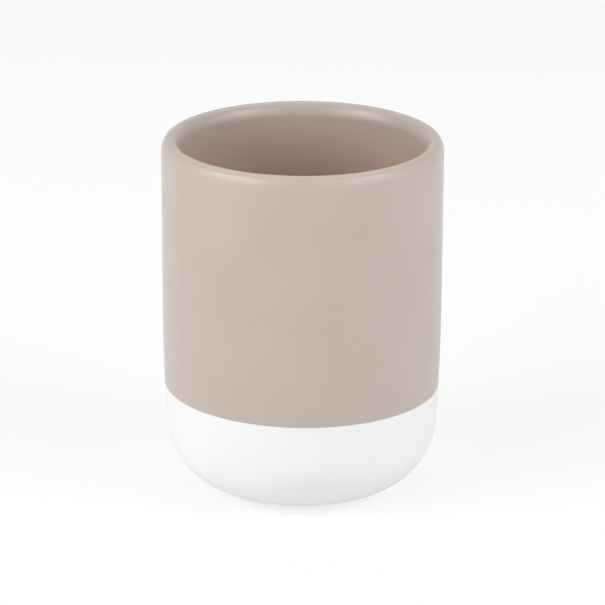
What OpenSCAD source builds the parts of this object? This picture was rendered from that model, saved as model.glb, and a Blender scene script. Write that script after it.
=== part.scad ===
// Bathroom tumbler: a slip-cast stoneware cup in two matt glazes, on soft anti-slip pads.
// Lengths are in millimetres. The Z axis is the axis of the cup, and the pads stand on z = 0.
// Heights in the cup's own sections are measured from its foot ring, which the pads lift off z = 0.

/* [Cup] */
// Height of the glazed cup, from its foot ring to the top of its lip
cup_h = 102.5; // [85:0.5:130]
// Outside diameter of the straight upper wall
cup_d = 80; // [72:0.5:100]
// Thickness of the wall, with both glazes
wall_t = 5.2; // [4:0.1:6.5]
// Thickness of the floor, from the recess under the cup to the bottom of the bore
floor_t = 5.5; // [4:0.1:9]

/* [Lower wall] */
// Height at which the straight wall starts to curve in
curve_start_h = 55.5; // [45:0.5:75]
// Radius of the long curve below that height
curve_r = 760; // [500:5:2000]
// Radius of the rounded corner at the foot, outside
corner_r = 19; // [14:0.5:23]
// Radius of the rounded corner at the bottom of the bore
bore_corner_r = 14; // [8:0.5:20]

/* [Lip] */
// Height of the rounded shoulder, from the straight outer wall up to the crest
shoulder_h = 3.8; // [3:0.1:8]
// Height of the rounded throat, from the crest down to the straight inner wall
throat_h = 4.2; // [3:0.1:8]

/* [Foot] */
// Width of the flat foot ring
foot_ring_w = 3; // [2:0.1:5]
// Height of the bare clay at the foot, below the edges of the glaze
bare_h = 0.4; // [0.2:0.1:1]
// Depth of the recess inside the foot ring
recess_depth = 1.4; // [1.3:0.1:3]
// Radius of the soft corner inside the recess
recess_corner_r = 0.9; // [0.5:0.1:1.2]

/* [Glaze] */
// Thickness of each coat of glaze
glaze_t = 0.3; // [0.2:0.05:0.5]
// Height of the line where the outer coat meets the base coat
glaze_line_h = 29.9; // [20:0.1:50]
// Height of the inner wall that the outer coat covers, from the crest of the lip down
lip_cover_h = 8; // [8:0.5:20]

/* [Pads] */
// Number of pads
pad_count = 4; // [3:1:5]
// Diameter of a pad
pad_d = 7; // [5:0.5:8]
// How far the pads stand out below the foot ring
pad_proud = 0.6; // [0.4:0.1:1.5]
// Radius of the rounded lower edge of a pad
pad_edge_r = 0.3; // [0.1:0.05:0.4]
// Clear glaze between a pad and the soft corner of the recess
pad_margin = 1; // [0.5:0.1:2]

/* [Hidden] */

// Where the crest of the lip stands across the wall, from the outside
crest_place_share = 0.47;
// Radius of the crest
crest_r_share = 0.39;
// Radius of the foot ring's inner edge, out of the bare and straight height above it
foot_edge_share = 0.45;
// How far an arc's points may leave the true arc
arc_tolerance = 0.01;
// How far a cut runs past the surface that it cuts
cut_over = 1;
$fn = 180;

clay_colour = [0.89, 0.85, 0.78];
taupe_colour = [0.76, 0.70, 0.65];
white_colour = [0.95, 0.95, 0.94];
pad_colour = [0.82, 0.83, 0.82];

cup_r = cup_d / 2;
bore_r = cup_r - wall_t;
floor_h = recess_depth + floor_t;

// The long curve has one centre for the outside and the bore, so the wall keeps its thickness.
curve_c = [cup_r - curve_r, curve_start_h];
bore_curve_r = curve_r - wall_t;

// Angle at which a corner of radius r, standing on height h, takes over from a long curve of radius long_r
function corner_angle(r, h, long_r) = asin((curve_start_h - h - r) / (long_r - r));

outer_angle = corner_angle(corner_r, 0, curve_r);
bore_angle = corner_angle(bore_corner_r, floor_h, bore_curve_r);
corner_c = curve_c + (curve_r - corner_r) * [cos(outer_angle), -sin(outer_angle)];
bore_corner_c = curve_c + (bore_curve_r - bore_corner_r) * [cos(bore_angle), -sin(bore_angle)];

// The lip is one small arc over the crest, with a larger arc down to the wall on each side.
crest_r = wall_t * crest_r_share;
crest_in = wall_t * crest_place_share;
crest_c = [cup_r - crest_in, cup_h - crest_r];

// Angle that a side arc turns through, for a side of the lip of width w and height h
function lip_angle(w, h) = 2 * atan((w - crest_r) / (h - crest_r));

shoulder_angle = lip_angle(crest_in, shoulder_h);
throat_angle = lip_angle(wall_t - crest_in, throat_h);
shoulder_r = crest_r + (shoulder_h - crest_r) / sin(shoulder_angle);
throat_r = crest_r + (throat_h - crest_r) / sin(throat_angle);
shoulder_c = [cup_r - shoulder_r, cup_h - shoulder_h];
throat_c = [bore_r + throat_r, cup_h - throat_h];

foot_r = corner_c.x;
recess_r = foot_r - foot_ring_w;
recess_corner_c = [recess_r - recess_corner_r, recess_depth - recess_corner_r];
foot_edge_r = min(bare_h, recess_corner_c.y) * foot_edge_share;

pad_r = pad_d / 2;
pad_h = recess_depth + pad_proud;
pad_circle_r = recess_corner_c.x - pad_margin - pad_r;

// The points of an arc after its first one
function arc(centre, r, from, to) =
    let (steps = ceil(abs(to - from) / (2 * acos(1 - arc_tolerance / r))))
    [for (i = [1:steps]) let (a = from + (to - from) * i / steps) centre + r * [cos(a), sin(a)]];

function reversed(points) = [for (i = [len(points) - 1:-1:0]) points[i]];

// The skin from the foot ring up to the crest, moved into the wall by inset
function outer_side(inset) = concat(
    [[foot_r, inset]],
    arc(corner_c, corner_r - inset, -90, -outer_angle),
    arc(curve_c, curve_r - inset, -outer_angle, 0),
    [[cup_r - inset, shoulder_c.y]],
    arc(shoulder_c, shoulder_r - inset, 0, shoulder_angle),
    arc(crest_c, crest_r - inset, shoulder_angle, 90)
);

// The skin of the bore below the lip, down to the middle of the floor, moved into the wall by inset
function bore_side(inset) = concat(
    [[bore_r + inset, curve_start_h]],
    arc(curve_c, bore_curve_r + inset, 0, -bore_angle),
    arc(bore_corner_c, bore_corner_r + inset, -bore_angle, -90),
    [[0, floor_h - inset]]
);

// The whole skin of the cup, up to the crest, down through the throat and into the bore
function skin(inset) = concat(
    outer_side(inset),
    arc(crest_c, crest_r - inset, 90, 180 - throat_angle),
    arc(throat_c, throat_r - inset, 180 - throat_angle, 180),
    bore_side(inset)
);

// Half of a cut through the cup with its skin moved into the wall by inset.
// The flat of the foot ring is never glazed, so it stays where it is.
module cup_section(inset) {
    difference() {
        polygon(concat([[0, 0], [foot_r, 0]], skin(inset)));
        recess_section(inset);
    }
}

// Half of a cut through the recess, made larger all round by grow.
// At its mouth it takes the sharp corner off the foot ring's inner edge.
module recess_section(grow) {
    edge_c = [recess_r + grow + foot_edge_r, foot_edge_r];
    polygon(concat(
        [[0, -cut_over], [edge_c.x, -cut_over], [edge_c.x, 0]],
        arc(edge_c, foot_edge_r, 270, 180),
        [[recess_r + grow, recess_corner_c.y]],
        arc(recess_corner_c, recess_corner_r + grow, 0, 90),
        [[0, recess_depth + grow]]
    ));
}

// Half of a cut through all the glaze on the outside, the lip and the bore
module coat_section() {
    polygon(concat(skin(0), reversed(skin(glaze_t))));
}

// Everything between two heights
module band(low, high) {
    translate([0, low]) square([cup_d, high - low]);
}

// Half of a cut through the room in the bore below the outer coat's edge, with some of the wall behind it
module liner_room() {
    inset = glaze_t + cut_over;
    edge_h = cup_h - lip_cover_h;
    polygon(concat([[0, edge_h], [bore_r + inset, edge_h]], bore_side(inset)));
}

// Half of a cut through the glaze outside that room, between two heights
module outer_coat(low, high) {
    difference() {
        intersection() {
            coat_section();
            band(low, high);
        }
        liner_room();
    }
}

// A solid of the cup turned from half of a cut, standing on the pads
module turned() {
    translate([0, 0, pad_proud]) rotate_extrude() children();
}

// The fired clay stands back behind the glaze, and comes out to the full size at the bare foot.
module clay_body() {
    color(clay_colour) turned() {
        cup_section(glaze_t);
        intersection() {
            cup_section(0);
            band(0, bare_h);
        }
    }
}

// The outer coat is dipped over the lip, so its inner edge lies on the wall of the bore.
module outer_glaze() {
    color(taupe_colour) turned() outer_coat(glaze_line_h, cup_h + cut_over);
}

module liner_glaze() {
    color(taupe_colour) turned() intersection() {
        coat_section();
        liner_room();
    }
}

module base_glaze() {
    color(white_colour) turned() outer_coat(bare_h, glaze_line_h);
}

module recess_glaze() {
    color(white_colour) turned() intersection() {
        difference() {
            recess_section(glaze_t);
            recess_section(0);
        }
        band(bare_h, recess_depth + cut_over);
    }
}

// The pads stick to the glaze in the recess, evenly round the axis.
module anti_slip_pad(number) {
    color(pad_colour)
        rotate([0, 0, 360 * (number - 0.5) / pad_count])
        translate([pad_circle_r, 0, 0])
        rotate_extrude()
        polygon(concat(
            [[0, 0], [pad_r - pad_edge_r, 0]],
            arc([pad_r - pad_edge_r, pad_edge_r], pad_edge_r, -90, 0),
            [[pad_r, pad_h], [0, pad_h]]
        ));
}

clay_body();
outer_glaze();
liner_glaze();
base_glaze();
recess_glaze();
for (i = [1:pad_count])
    anti_slip_pad(i);
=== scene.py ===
# %% [markdown]
# A two-glaze bathroom tumbler
#
# The real object is a slip-cast stoneware cup. It is straight-sided, with a thick soft lip and a rounded
# foot. A warm taupe satin glaze covers the upper part and the inside, and a white glaze of the same sheen
# covers the foot up to a crisp line. Four soft pads under the foot keep it from sliding on a wet shelf.
#
# The construction comes in as a fixed frame, one solid for each piece. This lesson dresses that frame:
# it turns fine meshes for the glazes, the clay and the pads, paints their finishes, and lights them.

# %% Load the frame and keep its box
import math

import bmesh
import bpy
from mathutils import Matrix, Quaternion, Vector


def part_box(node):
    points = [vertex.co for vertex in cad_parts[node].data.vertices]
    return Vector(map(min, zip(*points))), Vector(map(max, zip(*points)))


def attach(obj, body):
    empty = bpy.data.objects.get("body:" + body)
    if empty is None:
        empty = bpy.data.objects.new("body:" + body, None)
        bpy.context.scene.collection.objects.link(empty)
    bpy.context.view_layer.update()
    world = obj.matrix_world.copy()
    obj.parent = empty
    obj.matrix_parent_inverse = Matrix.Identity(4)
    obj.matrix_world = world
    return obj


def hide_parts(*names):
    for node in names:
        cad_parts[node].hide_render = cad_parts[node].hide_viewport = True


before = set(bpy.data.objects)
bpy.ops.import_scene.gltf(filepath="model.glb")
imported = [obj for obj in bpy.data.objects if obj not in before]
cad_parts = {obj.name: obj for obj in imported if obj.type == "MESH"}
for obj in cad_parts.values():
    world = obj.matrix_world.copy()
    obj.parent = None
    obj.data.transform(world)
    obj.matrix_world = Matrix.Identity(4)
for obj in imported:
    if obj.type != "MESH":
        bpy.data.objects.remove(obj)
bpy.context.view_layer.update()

print("nodes:", ", ".join(sorted(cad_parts)))

# %% [markdown]
# The sizes that drive everything
#
# Every surface of a turned cup follows from one half of a cut through it. Most of the sizes can be read
# from the boxes of the frame's own nodes, so the new meshes cannot drift away from the solids. The radii
# of the rounded stretches cannot be read from a box, so they are written here in millimetres. The crest
# of the lip goes with the wall instead, because a thicker wall has a rounder lip.

# %% Sizes
MM = 0.001

clay_low, clay_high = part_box("clay_body")
coat_low, coat_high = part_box("outer_glaze")
liner_low, liner_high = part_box("liner_glaze")
recess_low, recess_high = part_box("recess_glaze")

CUP_R = coat_high.x
CUP_TOP = coat_high.z
FOOT_Z = clay_low.z
LINE_Z = coat_low.z
GLAZE_T = CUP_R - clay_high.x
BARE_Z = recess_low.z
RECESS_Z = recess_high.z - GLAZE_T
RECESS_R = recess_high.x - GLAZE_T
BORE_R = liner_high.x - GLAZE_T
FLOOR_Z = liner_low.z + GLAZE_T
SEAM_Z = liner_high.z
WALL_T = CUP_R - BORE_R

CURVE_START_Z = FOOT_Z + 55.5 * MM
CURVE_R = 760 * MM
CORNER_R = 19 * MM
BORE_CORNER_R = 14 * MM
RECESS_CORNER_R = 0.9 * MM
SHOULDER_H = 3.8 * MM
THROAT_H = 4.2 * MM
CREST_IN = 0.47 * WALL_T
CREST_R = 0.39 * WALL_T
FOOT_EDGE_R = 0.45 * (BARE_Z - FOOT_Z)
print(f"cup {2 * CUP_R / MM:.1f} mm across and {(CUP_TOP - FOOT_Z) / MM:.1f} mm high")
print(f"wall {WALL_T / MM:.1f} mm, glaze {GLAZE_T / MM:.2f} mm")

# %% [markdown]
# Lines and arcs of points
#
# A potter's template for this cup would be a few arcs and straight lines, each running smoothly into the
# next. It could be drawn as a Bezier curve, but then its radii would only be near the real ones. Here it is
# written as points on a line, which a Geometry Nodes tree turns round the axis later. Points are close
# together where the lip and the corners bend, so that they stay smooth in a close view, and two
# millimetres apart on the straight wall.

# %% Helpers for points on a line
ARC_STEP = 2.0
SMALL_ARC_STEP = 3 * ARC_STEP
WALL_STEP = 2 * MM
TINY = 0.0001 * MM


def arc(centre, radius, start, end, step=ARC_STEP):
    """Points along an arc, from one angle in degrees to another, after its first point."""
    count = math.ceil(abs(end - start) / step)
    angles = [math.radians(start + (end - start) * i / count) for i in range(1, count + 1)]
    return [centre + radius * Vector((math.cos(a), math.sin(a))) for a in angles]


def straight(start, end):
    """Points along a straight line, after its first point."""
    count = max(1, round((end - start).length / WALL_STEP))
    return [start.lerp(end, i / count) for i in range(1, count + 1)]


def between(points, low, high):
    """The stretch of a line that lies between two heights, cut exactly at both."""
    marked = [points[0]]
    for here, there in zip(points, points[1:]):
        span = sorted((here.y, there.y))
        levels = [level for level in (low, high) if span[0] < level < span[1]]
        shares = sorted((level - here.y) / (there.y - here.y) for level in levels)
        marked += [here.lerp(there, share) for share in shares]
        marked.append(there)
    return [p for p in marked if low - TINY <= p.y <= high + TINY]


print("points on a quarter turn:", len(arc(Vector((0, 0)), MM, 0, 90)))

# %% [markdown]
# The skin of the cup
#
# Seen from the side, the real cup bends in three places: a rounded foot, a lower half that draws in very
# slightly, and a lip that rolls over a small crest into a slower curve on either side. Every bend is an arc
# that meets its neighbours without a corner. Moving a line of arcs into the wall only changes the radii, so
# the back of a glaze runs at exactly the same distance from its face, all the way round the lip.

# %% Where the arcs meet
def corner_angle(radius, floor_z, long_radius):
    """Angle, in degrees, at which a rounded corner on a floor takes over from the long curve above it."""
    return math.degrees(math.asin((CURVE_START_Z - floor_z - radius) / (long_radius - radius)))


def lip_angle(width, height):
    """Angle, in degrees, that the arc on one side of the lip turns through."""
    return 2 * math.degrees(math.atan((width - CREST_R) / (height - CREST_R)))


def polar(radius, angle):
    """A step of one radius in the direction of an angle in degrees."""
    return radius * Vector((math.cos(math.radians(angle)), math.sin(math.radians(angle))))


BORE_CURVE_R = CURVE_R - WALL_T
curve_c = Vector((CUP_R - CURVE_R, CURVE_START_Z))
outer_angle = corner_angle(CORNER_R, FOOT_Z, CURVE_R)
bore_angle = corner_angle(BORE_CORNER_R, FLOOR_Z, BORE_CURVE_R)
corner_c = curve_c + polar(CURVE_R - CORNER_R, -outer_angle)
bore_corner_c = curve_c + polar(BORE_CURVE_R - BORE_CORNER_R, -bore_angle)
FOOT_R = corner_c.x

shoulder_angle = lip_angle(CREST_IN, SHOULDER_H)
throat_angle = lip_angle(WALL_T - CREST_IN, THROAT_H)
SHOULDER_R = CREST_R + (SHOULDER_H - CREST_R) / math.sin(math.radians(shoulder_angle))
THROAT_R = CREST_R + (THROAT_H - CREST_R) / math.sin(math.radians(throat_angle))
crest_c = Vector((CUP_R - CREST_IN, CUP_TOP - CREST_R))
shoulder_c = Vector((CUP_R - SHOULDER_R, CUP_TOP - SHOULDER_H))
throat_c = Vector((BORE_R + THROAT_R, CUP_TOP - THROAT_H))

print(f"arcs of the lip: {SHOULDER_R / MM:.1f}, {CREST_R / MM:.1f} and {THROAT_R / MM:.1f} mm")

# %% The two sides and the recess
LONG_STEP = math.degrees(WALL_STEP / CURVE_R)


def outside(inset):
    """From the foot ring up to the crest of the lip, moved into the wall by inset."""
    points = [Vector((FOOT_R, FOOT_Z + inset))]
    points += arc(corner_c, CORNER_R - inset, -90, -outer_angle)
    points += arc(curve_c, CURVE_R - inset, -outer_angle, 0, LONG_STEP)
    points += straight(points[-1], Vector((CUP_R - inset, shoulder_c.y)))
    points += arc(shoulder_c, SHOULDER_R - inset, 0, shoulder_angle)
    points += arc(crest_c, CREST_R - inset, shoulder_angle, 90)
    return points


def inside(inset):
    """From the crest of the lip down the bore to the middle of its floor, moved into the wall by inset."""
    points = [crest_c + Vector((0, CREST_R - inset))]
    points += arc(crest_c, CREST_R - inset, 90, 180 - throat_angle)
    points += arc(throat_c, THROAT_R - inset, 180 - throat_angle, 180)
    points += straight(points[-1], Vector((BORE_R + inset, CURVE_START_Z)))
    points += arc(curve_c, BORE_CURVE_R + inset, 0, -bore_angle, LONG_STEP)
    points += arc(bore_corner_c, BORE_CORNER_R + inset, -bore_angle, -90)
    points += straight(points[-1], Vector((0, FLOOR_Z - inset)))
    return points


def recess(grow):
    """From the middle of the recess under the cup out to its rim, made larger all round by grow."""
    centre = Vector((RECESS_R - RECESS_CORNER_R, RECESS_Z - RECESS_CORNER_R))
    points = [Vector((0, RECESS_Z + grow))]
    points += straight(points[-1], Vector((centre.x, RECESS_Z + grow)))
    points += arc(centre, RECESS_CORNER_R + grow, 90, 0, SMALL_ARC_STEP)
    return points + [Vector((RECESS_R + grow, FOOT_Z))]


print(f"points on the outside: {len(outside(0))}, in the bore: {len(inside(0))}")

# %% [markdown]
# Writing node trees as sums
#
# Both the shapes and the finishes are node trees. Laying them out one socket at a time hides the idea, so
# a small class wraps an output socket and turns ordinary sums on it into Math nodes. Every other node
# comes from one method that takes its type, its settings and the values or links of its sockets.

# %% A wire that does sums
class Wire:
    """An output socket on a board. A sum written on it adds a Math node."""

    def __init__(self, board, socket):
        self.board = board
        self.socket = socket

    def __add__(self, other):
        return self.board.maths("ADD", self, other)

    def __radd__(self, other):
        return self.board.maths("ADD", other, self)

    def __sub__(self, other):
        return self.board.maths("SUBTRACT", self, other)

    def __rsub__(self, other):
        return self.board.maths("SUBTRACT", other, self)

    def __mul__(self, other):
        return self.board.maths("MULTIPLY", self, other)

    def __rmul__(self, other):
        return self.board.maths("MULTIPLY", other, self)

    def __truediv__(self, other):
        return self.board.maths("DIVIDE", self, other)


print("wire ready: it adds, subtracts, multiplies and divides")

# %% A board to lay nodes on
class Board:
    """A node tree that nodes are laid out on, from left to right."""

    COLUMN = 220
    DROP = 60
    ROWS = 5

    def __init__(self, tree):
        self.tree = tree
        self.count = 0

    def node(self, kind, settings=(), sockets=(), out=0):
        """Adds a node, sets it up, plugs in its sockets, and returns one of its outputs."""
        made = self.tree.nodes.new(kind)
        made.location = (self.COLUMN * self.count, -self.DROP * (self.count % self.ROWS))
        self.count += 1
        for name, value in dict(settings).items():
            setattr(made, name, value)
        for name, value in dict(sockets).items():
            self.plug(self.find(made.inputs, name), value)
        return Wire(self, self.find(made.outputs, out)) if len(made.outputs) else made

    def find(self, sockets, name):
        """A socket by its place, or by its identifier or name."""
        if isinstance(name, int):
            return sockets[name]
        return next(s for s in sockets if name in (s.identifier, s.name))

    def plug(self, socket, value):
        """Links a wire to a socket, or writes a plain value on it."""
        if isinstance(value, Wire):
            self.tree.links.new(value.socket, socket)
        else:
            socket.default_value = value

    def maths(self, operation, left, right):
        """One Math node on two values or wires."""
        return self.node("ShaderNodeMath", {"operation": operation}, {0: left, 1: right})

    def smooth(self, value, low, high):
        """0 where the value is below low, 1 where it is above high, and an S-curve between them."""
        sockets = {"Value": value, "From Min": low, "From Max": high}
        return self.node("ShaderNodeMapRange", {"interpolation_type": "SMOOTHSTEP"}, sockets)

    def noise(self, vector, scale, detail, seed):
        """Noise from 0 to 1 with its seed in the fourth dimension."""
        sockets = {"Vector": vector, "W": seed, "Scale": scale, "Detail": detail}
        return self.node("ShaderNodeTexNoise", {"noise_dimensions": "4D"}, sockets, "Fac")


print("board ready: it lays a node every", Board.COLUMN, "units")

# %% [markdown]
# The tree that turns a cut into a cup
#
# A cup is a solid of revolution. A Screw modifier or a spin in mesh code would turn it, but one node tree
# with named sizes can make every piece of it from that piece's own cut. It takes half of a cut as a line
# of points, sweeps it round a circle, and joins the points that meet on the axis. A perfectly true cup
# looks machined, so the tree then lets the wall wander inwards by a tenth of a millimetre, as a cast wall
# does in the kiln. The glaze line leans and wavers a little too, because the cup was dipped by hand. All
# pieces wander by the same rule, so the coats stay in contact with the clay.

# %% Inputs of the turning tree
TURNING_INPUTS = (
    ("Geometry", "NodeSocketGeometry", None),
    ("Wheel Radius", "NodeSocketFloat", CUP_R),
    ("Segments", "NodeSocketInt", 256),
    ("Wander Depth", "NodeSocketFloat", 0.1 * MM),
    ("Wander Scale", "NodeSocketFloat", 22.0),
    ("Line Height", "NodeSocketFloat", LINE_Z),
    ("Line Reach", "NodeSocketFloat", 9 * MM),
    ("Line Lean", "NodeSocketFloat", math.tan(math.radians(0.38))),
    ("Line Waver", "NodeSocketFloat", 0.12 * MM),
    ("Sharp Angle", "NodeSocketFloat", math.radians(35)),
    ("Join Distance", "NodeSocketFloat", 0.001 * MM),
    ("Seed", "NodeSocketFloat", 7.0),
    ("Material", "NodeSocketMaterial", None),
)
print("inputs of the turning tree:", len(TURNING_INPUTS))


# %% Start a tree and end it
def new_tree(name, inputs):
    """An empty Geometry Nodes tree. Returns its board and a dictionary of its inputs."""
    tree = bpy.data.node_groups.new(name, "GeometryNodeTree")
    tree.interface.new_socket("Geometry", in_out="OUTPUT", socket_type="NodeSocketGeometry")
    for label, kind, value in inputs:
        socket = tree.interface.new_socket(label, in_out="INPUT", socket_type=kind)
        if value is not None:
            socket.default_value = value
    board = Board(tree)
    start = tree.nodes.new("NodeGroupInput")
    return board, {label: Wire(board, start.outputs[label]) for label, _, _ in inputs}


def end_tree(board, shape, material):
    """Gives the shape its material, makes every copy real, and ends the tree."""
    shape = board.node("GeometryNodeSetMaterial", (), {"Geometry": shape, "Material": material})
    shape = board.node("GeometryNodeRealizeInstances", (), {"Geometry": shape})
    board.node("NodeGroupOutput", (), {"Geometry": shape})
    return board.tree


board, given = new_tree("turned_piece", TURNING_INPUTS)
print("started", board.tree.name)


# %% Sweep the cut round the axis
def turn_profile(board, given):
    """Sweeps a cut that stands in the XZ plane round the Z axis."""
    place = board.node("GeometryNodeInputPosition")
    across = board.node("ShaderNodeSeparateXYZ", (), {0: place}, "X")
    up = board.node("ShaderNodeSeparateXYZ", (), {0: place}, "Z")
    laid = board.node("ShaderNodeCombineXYZ", (), {"X": across - given["Wheel Radius"], "Y": 0.0 - up})
    flat = board.node("GeometryNodeSetPosition", (), {"Geometry": given["Geometry"], "Position": laid})
    cut = board.node("GeometryNodeMeshToCurve", (), {"Mesh": flat})
    wheel = board.node(
        "GeometryNodeCurvePrimitiveCircle", (),
        {"Resolution": given["Segments"], "Radius": given["Wheel Radius"]},
    )
    turned = board.node("GeometryNodeCurveToMesh", (), {"Curve": wheel, "Profile Curve": cut})
    facing_out = board.node("GeometryNodeFlipFaces", (), {"Mesh": turned})
    return board.node(
        "GeometryNodeMergeByDistance", (),
        {"Geometry": facing_out, "Distance": given["Join Distance"]},
    )


turned = turn_profile(board, given)
print("nodes so far:", len(board.tree.nodes))

# %% Let the wall and the line wander
WAVERS_PER_WANDER = 3
MIDDLE_OF_NOISE = 0.5


def wander(board, given, shape):
    """Moves the wall inwards and the glaze line up and down, by the same rule for every piece."""
    place = board.node("GeometryNodeInputPosition")
    x, y, z = (board.node("ShaderNodeSeparateXYZ", (), {0: place}, axis) for axis in "XYZ")
    unevenness = board.noise(place, given["Wander Scale"], detail=1.0, seed=given["Seed"])
    inwards = unevenness * given["Wander Depth"] / given["Wheel Radius"]
    gap = board.node("ShaderNodeMath", {"operation": "ABSOLUTE"}, {0: z - given["Line Height"]})
    nearness = 1.0 - board.smooth(gap, 0.0, given["Line Reach"])
    quick = WAVERS_PER_WANDER * given["Wander Scale"]
    waver = board.noise(place, quick, detail=2.0, seed=given["Seed"] + 1.0) - MIDDLE_OF_NOISE
    rise = nearness * (waver * given["Line Waver"] - x * given["Line Lean"])
    offset = board.node(
        "ShaderNodeCombineXYZ", (),
        {"X": 0.0 - x * inwards, "Y": 0.0 - y * inwards, "Z": rise},
    )
    return board.node("GeometryNodeSetPosition", (), {"Geometry": shape, "Offset": offset})


turned = wander(board, given, turned)
print("nodes so far:", len(board.tree.nodes))


# %% Shade the shape and end the tree
def shade(board, given, shape):
    """Smooth shading, with a crisp edge where two faces meet at more than the sharp angle."""
    smooth = board.node("GeometryNodeSetShadeSmooth", {"domain": "FACE"}, {"Geometry": shape})
    bend = board.node("GeometryNodeInputMeshEdgeAngle", out="Unsigned Angle")
    sharp = board.maths("GREATER_THAN", bend, given["Sharp Angle"])
    return board.node(
        "GeometryNodeSetShadeSmooth", {"domain": "EDGE"},
        {"Geometry": smooth, "Selection": sharp, "Shade Smooth": False},
    )


turned = shade(board, given, turned)
turning_tree = end_tree(board, turned, given["Material"])
print("turning tree:", len(turning_tree.nodes), "nodes")

# %% [markdown]
# From a tree to a plain mesh
#
# A modifier shows the result of a tree, but the finished piece has to be a plain mesh at the origin. So
# the modifier's inputs are set, the result is read back once, and the modifier is taken off. The printed
# volume has to be positive: it would be negative if the faces pointed inwards. A piece with no open edges
# is a closed shell.

# %% Helpers that make and measure a piece
def line_mesh(name, points, closed):
    """A line of points in the XZ plane as a mesh of edges. A line that ends on the axis isn't closed."""
    edges = [(i, i + 1) for i in range(len(points) - 1)]
    if closed:
        edges.append((len(points) - 1, 0))
    mesh = bpy.data.meshes.new(name)
    mesh.from_pydata([(p.x, 0, p.y) for p in points], edges, [])
    return mesh


def make_piece(name, mesh, tree, values):
    """Runs a tree on a mesh and leaves the result as a plain mesh object at the origin."""
    piece = bpy.data.objects.new(name, mesh)
    bpy.context.scene.collection.objects.link(piece)
    modifier = piece.modifiers.new("tree", "NODES")
    modifier.node_group = tree
    for item in tree.interface.items_tree:
        if item.in_out == "INPUT" and item.name in values:
            modifier[item.identifier] = values[item.name]
    graph = bpy.context.evaluated_depsgraph_get()
    result = bpy.data.meshes.new_from_object(piece.evaluated_get(graph), depsgraph=graph)
    piece.modifiers.remove(modifier)
    piece.data = result
    result.name = name
    return piece


def measure(piece):
    """Prints what a piece is made of and the volume that it encloses."""
    shell = bmesh.new()
    shell.from_mesh(piece.data)
    volume = shell.calc_volume(signed=True) / MM ** 3
    open_edges = sum(not edge.is_manifold for edge in shell.edges)
    print(f"{piece.name}: {len(shell.faces)} faces, {volume:.0f} mm3, {open_edges} open edges")
    shell.free()


print("piece helpers ready")

# %% [markdown]
# Finishes: what they share
#
# Every finish is a Principled surface whose colour, roughness and fine relief change slowly over the
# piece. Painted images could do this too, but they would need an unwrapped surface and would blur in a
# close view. All the finishes read Object coordinates, which are metres here, so a noise of scale 400 has
# features of about 2.5 mm. The relief goes through a Bump node whose height is a real height in metres.

# %% Helpers for the finishes
def new_finish(name):
    """A material with an empty tree. Returns it, its board and its object coordinates."""
    material = bpy.data.materials.new(name)
    material.use_nodes = True
    material.node_tree.nodes.clear()
    board = Board(material.node_tree)
    return material, board, board.node("ShaderNodeTexCoord", out="Object")


def blend_colours(board, share, first, second):
    """Goes from the first colour to the second as share goes from 0 to 1."""
    sockets = {"Factor_Float": share, "A_Color": first, "B_Color": second}
    return board.node("ShaderNodeMix", {"data_type": "RGBA"}, sockets, "Result_Color")


def from_axis(board, place):
    """Distance from the axis of the cup."""
    x, y = (board.node("ShaderNodeSeparateXYZ", (), {0: place}, axis) for axis in "XY")
    return board.maths("SQRT", x * x + y * y, 0.0)


def end_finish(board, colour, roughness, relief, constants):
    """Ends a finish in one Principled surface with its relief."""
    normal = board.node("ShaderNodeBump", (), {"Strength": 1.0, "Distance": 1.0, "Height": relief})
    sockets = {"Base Color": colour, "Roughness": roughness, "Normal": normal, **constants}
    surface = board.node("ShaderNodeBsdfPrincipled", (), sockets)
    board.node("ShaderNodeOutputMaterial", (), {"Surface": surface})


def specks(board, coordinates, scale, radius, share, seed):
    """1 on small round specks with a soft edge, in a share of the cells of a grid, and 0 elsewhere."""
    cells = {"Vector": coordinates, "W": seed, "Scale": scale}
    distance = board.node("ShaderNodeTexVoronoi", {"voronoi_dimensions": "4D"}, cells, "Distance")
    colour = board.node("ShaderNodeTexVoronoi", {"voronoi_dimensions": "4D"}, cells, "Color")
    draw = board.node("ShaderNodeSeparateColor", (), {"Color": colour}, "Red")
    picked = board.maths("LESS_THAN", draw, share)
    return picked * (1.0 - board.smooth(distance, 0.5 * radius * scale, radius * scale))


print("finish helpers ready")

# %% [markdown]
# The taupe glaze
#
# Up close, the taupe glaze is satin rather than dead matt: the lamps show on the lip as soft highlights,
# and nothing reflects sharply. It is nearly even, with faint clouds where the coat is thicker, a fine
# orange-peel relief, and a few pale pinholes where a bubble broke. Clouds come from slow noise, the peel
# from faster noise in the relief, and the pinholes from the specks helper. Down the bore the colour is
# painted darker and warmer over the first centimetre below the lip, as painted shade inside the cup.

# %% Taupe colours and where the painted shade in the bore falls
TAUPE = (0.486, 0.414, 0.370, 1)
TAUPE_THICK = (0.466, 0.395, 0.351, 1)
# Painted shade: the darker, warmer colour given to the inside of the bore.
TAUPE_BORE_SHADE = (0.474, 0.366, 0.304, 1)
TAUPE_PALE = (0.640, 0.570, 0.520, 1)
BORE_SIDE_R = CUP_R - 0.8 * WALL_T
OUTER_SIDE_R = CUP_R - 0.3 * WALL_T
WARMER_FROM = 2 * MM
WARMER_TO = 13 * MM


def bore_shade_share(board, place):
    """Share of painted shade: 0 outside and on the lip, rising to 1 a little way down the bore."""
    z = board.node("ShaderNodeSeparateXYZ", (), {0: place}, "Z")
    within = 1.0 - board.smooth(from_axis(board, place), BORE_SIDE_R, OUTER_SIDE_R)
    return within * board.smooth(CUP_TOP - z, WARMER_FROM, WARMER_TO)


print(f"the taupe turns warmer from {WARMER_FROM / MM:.0f} to {WARMER_TO / MM:.0f} mm below the lip")

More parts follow.
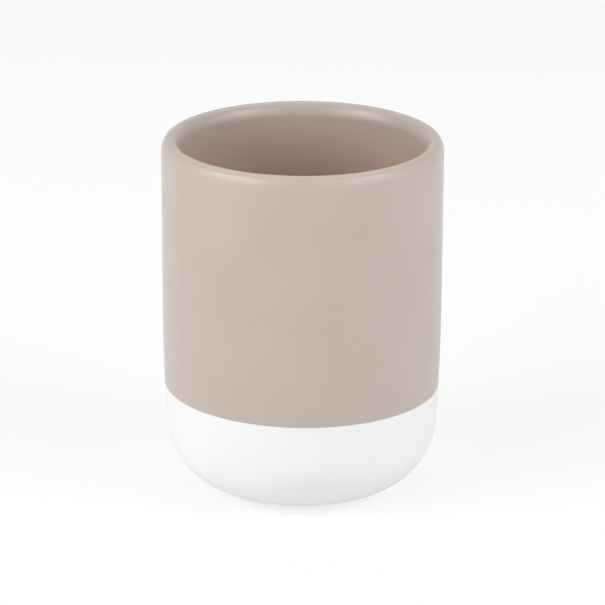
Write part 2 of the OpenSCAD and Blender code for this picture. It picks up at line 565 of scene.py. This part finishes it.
# %% What both glazes share
CERAMIC_IOR = 1.45
SATIN_ROUGHNESS = 0.285
CLOUDS_ROUGHEN = 0.05
GRAIN_ROUGHENS = 0.02
GRAIN_SCALE = 1500.0
PEEL_SCALE = 300.0
PINHOLE_SCALE = 160.0
PINHOLE_DEPTH = 0.02 * MM
PINHOLE_SHOWS = 0.5


def satin(clouds, grain):
    """Roughness of a satin glaze, a little rougher in its clouds and on its grain."""
    return SATIN_ROUGHNESS + CLOUDS_ROUGHEN * clouds + GRAIN_ROUGHENS * grain


print(f"satin glaze: roughness from {SATIN_ROUGHNESS}, pinholes {PINHOLE_DEPTH / MM:.2f} mm deep")

# %% Taupe glaze
TAUPE_PEEL_DEPTH = 0.010 * MM
TAUPE_GRAIN_DEPTH = 0.0006 * MM
GRAIN_IN_CLOUDS = 0.2


def taupe_finish():
    """The taupe satin glaze."""
    material, board, place = new_finish("taupe_glaze")
    clouds = board.noise(place, scale=45.0, detail=3.0, seed=3.0)
    grain = board.noise(place, GRAIN_SCALE, detail=2.0, seed=4.0)
    pinholes = specks(board, place, PINHOLE_SCALE, radius=0.22 * MM, share=0.12, seed=5.0)
    thickness = board.smooth(clouds + GRAIN_IN_CLOUDS * grain, low=0.4, high=0.8)
    colour = blend_colours(board, thickness, TAUPE, TAUPE_THICK)
    # Painted shade: the colour turns darker and warmer down the bore.
    colour = blend_colours(board, bore_shade_share(board, place), colour, TAUPE_BORE_SHADE)
    colour = blend_colours(board, PINHOLE_SHOWS * pinholes, colour, TAUPE_PALE)
    peel = board.noise(place, PEEL_SCALE, detail=1.0, seed=6.0)
    relief = TAUPE_PEEL_DEPTH * peel + TAUPE_GRAIN_DEPTH * grain - PINHOLE_DEPTH * pinholes
    end_finish(board, colour, satin(clouds, grain), relief, {"IOR": CERAMIC_IOR})
    return material


taupe_glaze = taupe_finish()
print("taupe glaze:", len(taupe_glaze.node_tree.nodes), "nodes")

# %% [markdown]
# The white glaze
#
# The white glaze on the foot has the same satin skin, and it is nearly as pale as the room round it. Pure
# white would lose its shading, so it is written a little greyer than paper. It gets the same treatment as
# the taupe with fewer pinholes and a shallower peel, so the two look like neighbours from one kiln.

# %% White glaze
WHITE = (0.808, 0.815, 0.810, 1)
WHITE_THIN = (0.792, 0.796, 0.788, 1)
WHITE_PINHOLE = (0.740, 0.730, 0.700, 1)
WHITE_PEEL_DEPTH = 0.008 * MM


def white_finish():
    """The white satin glaze."""
    material, board, place = new_finish("white_glaze")
    clouds = board.noise(place, scale=60.0, detail=3.0, seed=13.0)
    grain = board.noise(place, GRAIN_SCALE, detail=2.0, seed=14.0)
    pinholes = specks(board, place, PINHOLE_SCALE, radius=0.18 * MM, share=0.06, seed=15.0)
    colour = blend_colours(board, board.smooth(clouds, low=0.4, high=0.8), WHITE, WHITE_THIN)
    colour = blend_colours(board, PINHOLE_SHOWS * pinholes, colour, WHITE_PINHOLE)
    peel = board.noise(place, PEEL_SCALE, detail=1.0, seed=16.0)
    relief = WHITE_PEEL_DEPTH * peel - PINHOLE_DEPTH * pinholes
    end_finish(board, colour, satin(clouds, grain), relief, {"IOR": CERAMIC_IOR})
    return material


white_glaze = white_finish()
print("white glaze:", len(white_glaze.node_tree.nodes), "nodes")

# %% [markdown]
# The bare clay
#
# The foot ring is kept free of glaze, or it would stick to the kiln shelf. Fired stoneware is dry and
# slightly sandy, a warm off-white in paler and darker patches, with small dark grains of iron. Slow noise
# gives the patches, fast noise gives the sand and its relief, and the specks helper gives the iron.

# %% Stoneware
CLAY = (0.700, 0.630, 0.530, 1)
CLAY_PALE = (0.770, 0.715, 0.630, 1)
CLAY_IRON = (0.300, 0.220, 0.150, 1)
IRON_SHOWS = 0.6
DRY_ROUGHNESS = 0.80
SAND_ROUGHENS = 0.12
SAND_DEPTH = 0.03 * MM


def stoneware_finish():
    """The bare fired clay."""
    material, board, place = new_finish("stoneware")
    patches = board.noise(place, scale=120.0, detail=4.0, seed=23.0)
    sand = board.noise(place, scale=2600.0, detail=3.0, seed=24.0)
    iron = specks(board, place, scale=900.0, radius=0.16 * MM, share=0.10, seed=25.0)
    colour = blend_colours(board, board.smooth(patches, low=0.3, high=0.7), CLAY, CLAY_PALE)
    colour = blend_colours(board, IRON_SHOWS * iron, colour, CLAY_IRON)
    roughness = DRY_ROUGHNESS + SAND_ROUGHENS * sand
    end_finish(board, colour, roughness, SAND_DEPTH * sand, {"IOR": CERAMIC_IOR})
    return material


stoneware = stoneware_finish()
print("stoneware:", len(stoneware.node_tree.nodes), "nodes")

# %% [markdown]
# The rubber of the pads
#
# The pads are small discs of soft, slightly milky rubber. They have a satin skin that picks up a little
# dust, which is what makes them look used rather than drawn. The dust is the same noise in the colour and
# in the roughness, because dust is both greyer and duller than clean rubber.

# %% Pad rubber
RUBBER = (0.700, 0.715, 0.705, 1)
RUBBER_DUSTY = (0.610, 0.610, 0.590, 1)
RUBBER_ROUGHNESS = 0.42
DUST_ROUGHENS = 0.25
SKIN_DEPTH = 0.006 * MM
RUBBER_IOR = 1.41


def rubber_finish():
    """The rubber of the pads, with a little dust on it."""
    material, board, place = new_finish("pad_rubber")
    dust = board.noise(place, scale=700.0, detail=4.0, seed=33.0)
    skin = board.noise(place, scale=3500.0, detail=2.0, seed=34.0)
    colour = blend_colours(board, board.smooth(dust, low=0.45, high=0.75), RUBBER, RUBBER_DUSTY)
    roughness = RUBBER_ROUGHNESS + DUST_ROUGHENS * dust
    end_finish(board, colour, roughness, SKIN_DEPTH * skin, {"IOR": RUBBER_IOR})
    return material


pad_rubber = rubber_finish()
print("pad rubber:", len(pad_rubber.node_tree.nodes), "nodes")

# %% [markdown]
# The clay and its coats
#
# On the bench the cup would come apart like a nut from its shell: the clay in the middle, the taupe coat
# outside and over the lip, the taupe liner in the bore, the white coat on the foot, and a small white
# patch in the recess underneath. A Solidify modifier on a thin skin could give each coat its thickness, but
# its edges would not meet flush at the line between the glazes. So each coat is a closed shell with a cut
# of its own. The cuts share the same arcs, so the inner face of a coat is exactly the outer face of the
# clay.

# %% Cuts through the clay and the coats
FOOT_EDGE_STEP = 15.0


def coat_cut(line, low, high):
    """The cut of a coat that follows one side of the cup between two heights."""
    return between(line(0), low, high) + between(line(GLAZE_T), low, high)[::-1]


def outer_cut():
    """The taupe coat: up the outside, over the lip, and down to its edge in the bore."""
    front = between(outside(0), LINE_Z, CUP_TOP) + between(inside(0), SEAM_Z, CUP_TOP)[1:]
    back = between(outside(GLAZE_T), LINE_Z, CUP_TOP) + between(inside(GLAZE_T), SEAM_Z, CUP_TOP)[1:]
    return front + back[::-1]


def clay_cut():
    """The clay: the recess, the bare foot at its full size, and then the skin behind the glaze."""
    edge_c = Vector((RECESS_R + FOOT_EDGE_R, FOOT_Z + FOOT_EDGE_R))
    points = between(recess(GLAZE_T), BARE_Z, CUP_TOP)
    points.append(Vector((RECESS_R, BARE_Z)))
    points.append(edge_c - Vector((FOOT_EDGE_R, 0)))
    points += arc(edge_c, FOOT_EDGE_R, 180, 270, FOOT_EDGE_STEP)
    points += between(outside(0), FOOT_Z, BARE_Z)
    points += between(outside(GLAZE_T), BARE_Z, CUP_TOP)
    points += inside(GLAZE_T)[1:]
    return points


def liner_cut():
    """The liner: its back on the clay, from the middle of the floor up, and its face down again."""
    return between(inside(GLAZE_T), 0, SEAM_Z)[::-1] + between(inside(0), 0, SEAM_Z)


def recess_cut():
    """The white glaze in the recess: its face, from the middle out, and its back on the clay."""
    return between(recess(0), BARE_Z, CUP_TOP) + between(recess(GLAZE_T), BARE_Z, CUP_TOP)[::-1]


print("points in the cut of the clay:", len(clay_cut()))


# %% Turn the clay and the coats
def turned_piece(name, cut, closed, material):
    """Turns a cut round the axis and measures the result."""
    piece = make_piece(name, line_mesh(name, cut, closed), turning_tree, {"Material": material})
    measure(piece)
    return piece


clay = turned_piece("stoneware_cup", clay_cut(), False, stoneware)
outer_coat = turned_piece("taupe_outer_coat", outer_cut(), True, taupe_glaze)
liner_coat = turned_piece("taupe_liner_coat", liner_cut(), False, taupe_glaze)
base_coat = turned_piece("white_base_coat", coat_cut(outside, BARE_Z, LINE_Z), True, white_glaze)
recess_coat = turned_piece("white_recess_coat", recess_cut(), False, white_glaze)

# %% [markdown]
# The anti-slip pads
#
# Four pads sit in the recess, on the diagonals. Four separate discs would do, but a row that repeats is one
# rule: one pad is turned first, and a second tree sets copies of it on the points of a circle. The circle's
# first point is turned to where the frame has its first pad, and the other pads follow from it.

# %% The tree that sets copies round the axis
ROUND_INPUTS = (
    ("Geometry", "NodeSocketGeometry", None),
    ("Count", "NodeSocketInt", 4),
    ("Circle Radius", "NodeSocketFloat", 10 * MM),
    ("First Angle", "NodeSocketFloat", 0.0),
    ("Material", "NodeSocketMaterial", None),
)

board, given = new_tree("set_round_the_axis", ROUND_INPUTS)
circle = board.node(
    "GeometryNodeMeshCircle", (),
    {"Vertices": given["Count"], "Radius": given["Circle Radius"]},
)
first_turn = board.node("ShaderNodeCombineXYZ", (), {"Z": given["First Angle"]})
circle = board.node("GeometryNodeTransform", (), {"Geometry": circle, "Rotation": first_turn})
copies = board.node("GeometryNodeInstanceOnPoints", (), {"Points": circle, "Instance": given["Geometry"]})
round_tree = end_tree(board, copies, given["Material"])
print("round tree:", len(round_tree.nodes), "nodes")

# %% The cut of one pad
pad_nodes = sorted(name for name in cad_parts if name.startswith("anti_slip_pad"))
pad_low, pad_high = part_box(pad_nodes[0])
pad_middle = (pad_low + pad_high) / 2
PAD_R = (pad_high.x - pad_low.x) / 2
PAD_EDGE_R = 0.3 * MM
PAD_EDGE_STEP = 9.0


def pad_cut():
    """Half of a cut through a pad: flat below, with a rounded lower edge, and flat on the glaze."""
    edge_c = Vector((PAD_R - PAD_EDGE_R, pad_low.z + PAD_EDGE_R))
    points = [Vector((0, pad_low.z)), Vector((edge_c.x / 2, pad_low.z)), Vector((edge_c.x, pad_low.z))]
    points += arc(edge_c, PAD_EDGE_R, -90, 0, PAD_EDGE_STEP)
    return points + [Vector((PAD_R, pad_high.z)), Vector((0, pad_high.z))]


print(f"pad {2 * PAD_R / MM:.1f} mm across and {(pad_high.z - pad_low.z) / MM:.1f} mm high")

# %% Turn one pad and set the copies
pad_values = {"Material": pad_rubber, "Segments": 64, "Wander Depth": 0.0}
one_pad = make_piece("one_pad", line_mesh("pad_cut", pad_cut(), False), turning_tree, pad_values)
round_values = {
    "Count": len(pad_nodes),
    "Circle Radius": pad_middle.xy.length,
    "First Angle": math.atan2(pad_middle.y, pad_middle.x),
    "Material": pad_rubber,
}
pads = make_piece("anti_slip_pads", one_pad.data, round_tree, round_values)
bpy.data.objects.remove(one_pad)
measure(pads)

# %% [markdown]
# Tying the pieces to the frame
#
# Each piece rides on the cup's one body and hides the solid that it stands for. The solids stay in the
# frame, where they carry the weight and the collisions, and the meshes made here are only what is seen.

# %% Ride and replace the solids
DRESSED = (
    (clay, "stoneware", ["clay_body"]),
    (outer_coat, "taupe_glaze", ["outer_glaze"]),
    (liner_coat, "taupe_glaze", ["liner_glaze"]),
    (base_coat, "white_glaze", ["base_glaze"]),
    (recess_coat, "white_glaze", ["recess_glaze"]),
    (pads, "pad_rubber", pad_nodes),
)
for piece, slot, nodes in DRESSED:
    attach(piece, "root")
    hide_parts(*nodes)
print("dressed:", ", ".join(piece.name for piece, _, _ in DRESSED))

# %% [markdown]
# The floor
#
# The object was photographed on white, between large soft lights. The floor is a pale table that bounces
# light like real paint. For rays that look at it directly it also glows, so it reads as white right to the
# edge of the picture and still keeps the cup's shadow. Stronger lamps would make it white too, but they
# would bleach the cup. Seen from below the floor is clear. The room's light also comes up through the spot
# that the cup stands on, as if the cup had been lifted to look at its pads.

# %% The finish of the floor
FLOOR_PAINT = (0.94, 0.94, 0.94, 1)
FLOOR_GLOW_SHARE = 0.75
MOTTLE_SHARE = 0.01
CLEAR_EDGE = 6 * MM
WHITE_LIGHT = (1, 1, 1, 1)


def seen_directly(board):
    """1 for rays that show the background: from the camera, off gloss, or through glass."""
    seen = board.node("ShaderNodeLightPath", out="Is Camera Ray")
    for kind in ("Is Glossy Ray", "Is Transmission Ray"):
        seen = board.maths("MAXIMUM", seen, board.node("ShaderNodeLightPath", out=kind))
    return seen


def floor_finish():
    """Pale paint that glows for direct rays, and is clear from below and under the foot."""
    material, board, place = new_finish("white_table")
    mottle = board.noise(place, scale=30.0, detail=2.0, seed=43.0)
    paint = board.node("ShaderNodeBsdfDiffuse", (), {"Color": FLOOR_PAINT, "Roughness": 0.5})
    glow = board.node("ShaderNodeEmission", (), {"Color": WHITE_LIGHT, "Strength": 1.0})
    share = seen_directly(board) * (FLOOR_GLOW_SHARE + MOTTLE_SHARE * mottle)
    lit = board.node("ShaderNodeMixShader", (), {0: share, 1: paint, 2: glow})
    below = board.node("ShaderNodeNewGeometry", out="Backfacing")
    under_foot = 1.0 - board.smooth(from_axis(board, place), FOOT_R, FOOT_R + CLEAR_EDGE)
    from_camera = board.node("ShaderNodeLightPath", out="Is Camera Ray")
    see_through = board.maths("MAXIMUM", below, under_foot * (1.0 - from_camera))
    clear = board.node("ShaderNodeBsdfTransparent")
    surface = board.node("ShaderNodeMixShader", (), {0: see_through, 1: lit, 2: clear})
    board.node("ShaderNodeOutputMaterial", (), {"Surface": surface})
    return material


floor_paint = floor_finish()
print("floor finish:", len(floor_paint.node_tree.nodes), "nodes")

# %% Floor
FLOOR_HALF = 4.0

floor_corners = [(-FLOOR_HALF, -FLOOR_HALF), (FLOOR_HALF, -FLOOR_HALF)]
floor_corners += [(FLOOR_HALF, FLOOR_HALF), (-FLOOR_HALF, FLOOR_HALF)]
floor_mesh = bpy.data.meshes.new("table")
floor_mesh.from_pydata([(x, y, 0) for x, y in floor_corners], [], [(0, 1, 2, 3)])
floor_mesh.materials.append(floor_paint)
floor = bpy.data.objects.new("table", floor_mesh)
bpy.context.scene.collection.objects.link(floor)
print("floor", 2 * FLOOR_HALF, "m square")

# %% [markdown]
# The white room
#
# The room round the cup is as white as its floor, and light from all sides of it softens every shadow. At
# full strength that light would wash the shading out. So rays that look at the room see full white, and
# the rays that light the cup get only a quarter of it.

# %% World
AMBIENT = 0.25

world = bpy.data.worlds.new("white_room")
bpy.context.scene.world = world
world.use_nodes = True
world.node_tree.nodes.clear()
board = Board(world.node_tree)
strength = AMBIENT + seen_directly(board) * (1.0 - AMBIENT)
sky = board.node("ShaderNodeBackground", (), {"Color": WHITE_LIGHT, "Strength": strength})
board.node("ShaderNodeOutputWorld", (), {"Surface": sky})
print("world: ambient", AMBIENT)

# %% [markdown]
# Soft lamps
#
# The shading of a satin cup is a picture of the lamps round it. Two wide softboxes light the body, the left
# one brighter. Two small ones above them make the soft highlights on the lip, and low cards keep the foot
# bright down to the table. One lamp high at the back lifts the far side of the rim. One large lamp could
# light the cup as evenly, but the highlights would run together.
#
# A lamp is described by where it hangs, how large its face is, and how bright that face looks. The power
# that Blender asks for follows from those: a flat face of brightness L and area A sends out pi L A.

# %% A lamp of a given brightness
cup_middle = Vector((0, 0, (CUP_TOP + FOOT_Z) / 2))


def from_cup(azimuth, elevation, distance):
    """A place round the cup. Azimuth 0 is on the camera's side and 90 on its right."""
    turn, rise = math.radians(azimuth), math.radians(elevation)
    flat = Vector((math.sin(turn) * math.cos(rise), -math.cos(turn) * math.cos(rise), math.sin(rise)))
    return cup_middle + distance * flat


def softbox(name, azimuth, elevation, distance, width, height, brightness):
    """A rectangular lamp that faces the cup."""
    light = bpy.data.lights.new(name, "AREA")
    light.shape = "RECTANGLE"
    light.size, light.size_y = width, height
    light.energy = math.pi * brightness * width * height
    lamp = bpy.data.objects.new(name, light)
    lamp.location = from_cup(azimuth, elevation, distance)
    lamp.rotation_euler = (lamp.location - cup_middle).to_track_quat("Z", "Y").to_euler()
    lamp.visible_camera = False
    bpy.context.scene.collection.objects.link(lamp)
    return lamp


print("lamps face a point", round(cup_middle.z / MM, 1), "mm above the table")

# %% Softboxes
# Each row: name, azimuth and elevation in degrees, distance, width and height in metres, brightness.
SOFTBOXES = (
    ("left_softbox", -58, 25, 1.0, 0.95, 0.45, 4.0),
    ("left_small_softbox", -64, 38, 1.0, 0.34, 0.20, 8.2),
    ("left_table_card", -65, 0, 0.9, 0.90, 0.09, 1.45),
    ("right_softbox", 60, 25, 1.0, 0.95, 0.45, 2.7),
    ("right_small_softbox", 64, 38, 1.0, 0.34, 0.20, 9.2),
    ("right_table_card", 65, 0, 0.9, 0.90, 0.09, 1.35),
    ("front_table_card", 0, 3, 0.9, 0.90, 0.12, 1.3),
    ("high_back_softbox", 180, 62, 1.0, 0.90, 0.50, 1.4),
)
for lamp_values in SOFTBOXES:
    softbox(*lamp_values)
print("lamps:", ", ".join(values[0] for values in SOFTBOXES))

# %% [markdown]
# The camera
#
# The outline of the cup in the picture gives the camera: the flattening of the rim gives its height above
# the table, and the difference between the near and the far rim gives its distance. The cup stood a
# quarter of a degree off level in the frame, and a little below its middle.

# %% Camera
CAMERA_ELEVATION = 19.2
CAMERA_DISTANCE = 1.0
CAMERA_ROLL = 0.245
LENS_MM = 207.35
SENSOR_MM = 36
AIM_RISE = 1.83 * MM
AIM_RIGHT = 0.12 * MM

camera_data = bpy.data.cameras.new("camera")
camera_data.lens = LENS_MM
camera_data.sensor_width = SENSOR_MM
camera = bpy.data.objects.new("camera", camera_data)
camera.location = from_cup(0, CAMERA_ELEVATION, CAMERA_DISTANCE)
level = (camera.location - cup_middle).to_track_quat("Z", "Y")
aim = cup_middle + level @ Vector((AIM_RIGHT, AIM_RISE, 0))
facing = (camera.location - aim).to_track_quat("Z", "Y")
camera.rotation_mode = "QUATERNION"
camera.rotation_quaternion = facing @ Quaternion((0, 0, 1), math.radians(CAMERA_ROLL))
bpy.context.scene.collection.objects.link(camera)
bpy.context.scene.camera = camera
bpy.context.scene.view_settings.view_transform = "Standard"
print("camera at", tuple(round(c, 3) for c in camera.location))
